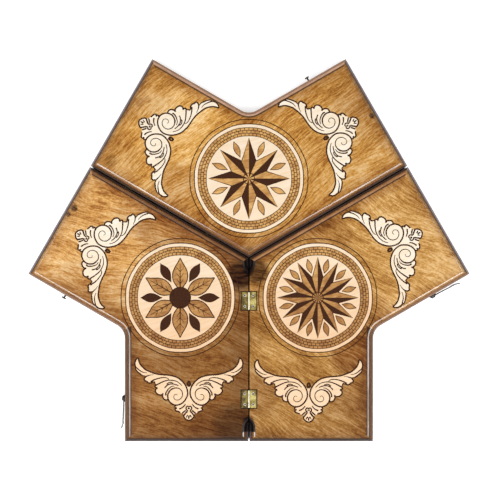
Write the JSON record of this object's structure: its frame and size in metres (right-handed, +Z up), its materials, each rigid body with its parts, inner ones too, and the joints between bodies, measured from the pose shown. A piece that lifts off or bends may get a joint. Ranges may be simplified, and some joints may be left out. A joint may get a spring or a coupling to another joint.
{
  "type": "backgammon board",
  "caption": "Three-armed folding backgammon board in stained wood: hinged chevron tray shells with routed covers, mitred rails, inlaid points, brass butt hinges, swing hooks and catch pins.",
  "frame": {"origin": "on the floor under the middle of the board's box, with the board open and its playing side down", "axes": "+X across the two side arms to the right, +Y away from the bottom arm, +Z up out of the decorated faces"},
  "size_m": [0.6336, 0.5486, 0.0351],
  "materials": {
    "left_cover_ply": "satin stained plywood",
    "right_cover_ply": "satin stained plywood",
    "upper_cover_ply": "satin stained plywood",
    "rail_wood": "satin stained hardwood",
    "field_wood": "satin varnished plywood",
    "dark_inlay": "satin dark veneer",
    "light_inlay": "satin pale veneer",
    "brass": "lightly worn brass",
    "brass_screw": "turned brass",
    "hinge_pin": "drawn wire",
    "hook_metal": "aged brass strip",
    "black_fitting": "black lacquer"
  },
  "bodies": {
    "upper_shell": {"upper_cover": "upper_cover_ply", "upper_seam_rail_right": "rail_wood", "upper_side_rail_right": "rail_wood", "upper_end_rail_right": "rail_wood", "upper_seam_rail_left": "rail_wood", "upper_side_rail_left": "rail_wood", "upper_end_rail_left": "rail_wood", "upper_notch_block": "rail_wood", "upper_field": "field_wood", "upper_dark_points": "dark_inlay", "upper_light_points": "light_inlay", "rim_hinge_leaves_upper": "brass", "rim_hinge_screws_upper": "brass_screw", "upper_catch_pin": "hook_metal"},
    "left_shell": {"left_cover": "left_cover_ply", "left_seam_rail_left": "rail_wood", "left_side_rail_left": "rail_wood", "left_end_rail_left": "rail_wood", "left_seam_rail_bottom": "rail_wood", "left_side_rail_bottom": "rail_wood", "left_end_rail_bottom": "rail_wood", "left_notch_block": "rail_wood", "left_field": "field_wood", "left_dark_points": "dark_inlay", "left_light_points": "light_inlay", "face_hinge_leaves_left": "brass", "face_hinge_pins": "hinge_pin", "face_hinge_screws_left": "brass_screw", "rim_hinge_leaves_left": "brass", "rim_hinge_pins": "hinge_pin", "rim_hinge_screws_left": "brass_screw", "left_hook_plate": "black_fitting", "left_hook_screw": "black_fitting", "left_catch_pin": "hook_metal"},
    "right_shell": {"right_cover": "right_cover_ply", "right_seam_rail_bottom": "rail_wood", "right_side_rail_bottom": "rail_wood", "right_end_rail_bottom": "rail_wood", "right_seam_rail_right": "rail_wood", "right_side_rail_right": "rail_wood", "right_end_rail_right": "rail_wood", "right_notch_block": "rail_wood", "right_field": "field_wood", "right_dark_points": "dark_inlay", "right_light_points": "light_inlay", "face_hinge_leaves_right": "brass", "face_hinge_screws_right": "brass_screw", "right_hook_plate": "black_fitting", "right_hook_screw": "black_fitting"},
    "left_hook": {"left_hook": "hook_metal"},
    "right_hook": {"right_hook": "hook_metal"}
  },
  "joints": [
    {"name": "left_fold", "type": "hinge", "parent": "right_shell", "child": "left_shell", "pos_m": [0, -0.14408, 0.0336], "axis": [0, 1, 0], "range_deg": [0, 180]},
    {"name": "upper_fold", "type": "hinge", "parent": "left_shell", "child": "upper_shell", "pos_m": [-0.11496, 0.05505, 0.0015], "axis": [-0.866, 0.5, 0], "range_deg": [0, 180]},
    {"name": "left_hook_swing", "type": "hinge", "parent": "left_shell", "child": "left_hook", "pos_m": [-0.178, -0.21333, 0.01755], "axis": [1, 0, 0], "range_deg": [0, 90]},
    {"name": "right_hook_swing", "type": "hinge", "parent": "right_shell", "child": "right_hook", "pos_m": [0.26394, -0.06448, 0.01755], "axis": [0.5, -0.866, 0], "range_deg": [0, 90]}
  ]
}
